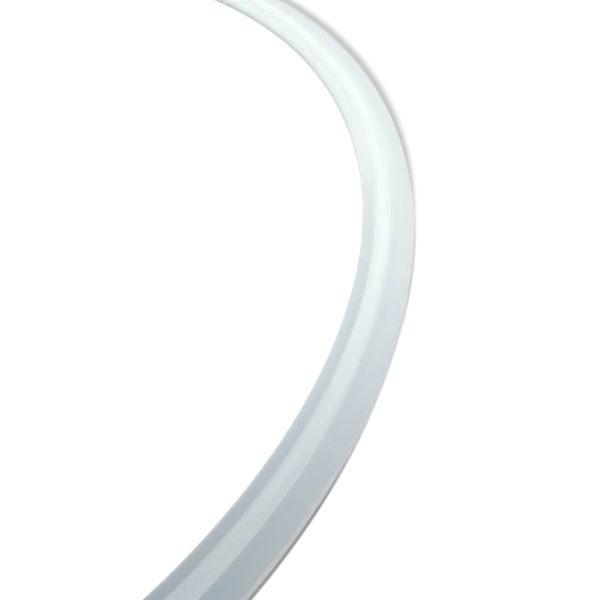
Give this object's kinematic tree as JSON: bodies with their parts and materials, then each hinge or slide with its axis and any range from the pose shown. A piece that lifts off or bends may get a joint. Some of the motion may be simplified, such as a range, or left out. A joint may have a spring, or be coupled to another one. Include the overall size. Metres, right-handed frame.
{
  "type": "sanitary clamp gasket",
  "caption": "One-piece translucent silicone ring gasket with flat lands and a rounded bead on both faces, which seals the grooved faces of sanitary clamp ferrules around an open bore.",
  "frame": {"origin": "on the ring's axis, level with the crest of the lower bead, on which the ring rests", "axes": "+Z along the ring's axis, up from the surface that it lies on; X and Y across the ring"},
  "size_m": [0.218, 0.218, 0.0046],
  "materials": {
    "milky_silicone": "satin, translucent, milky"
  },
  "bodies": {
    "root": {"gasket_ring": "milky_silicone"}
  },
  "joints": []
}
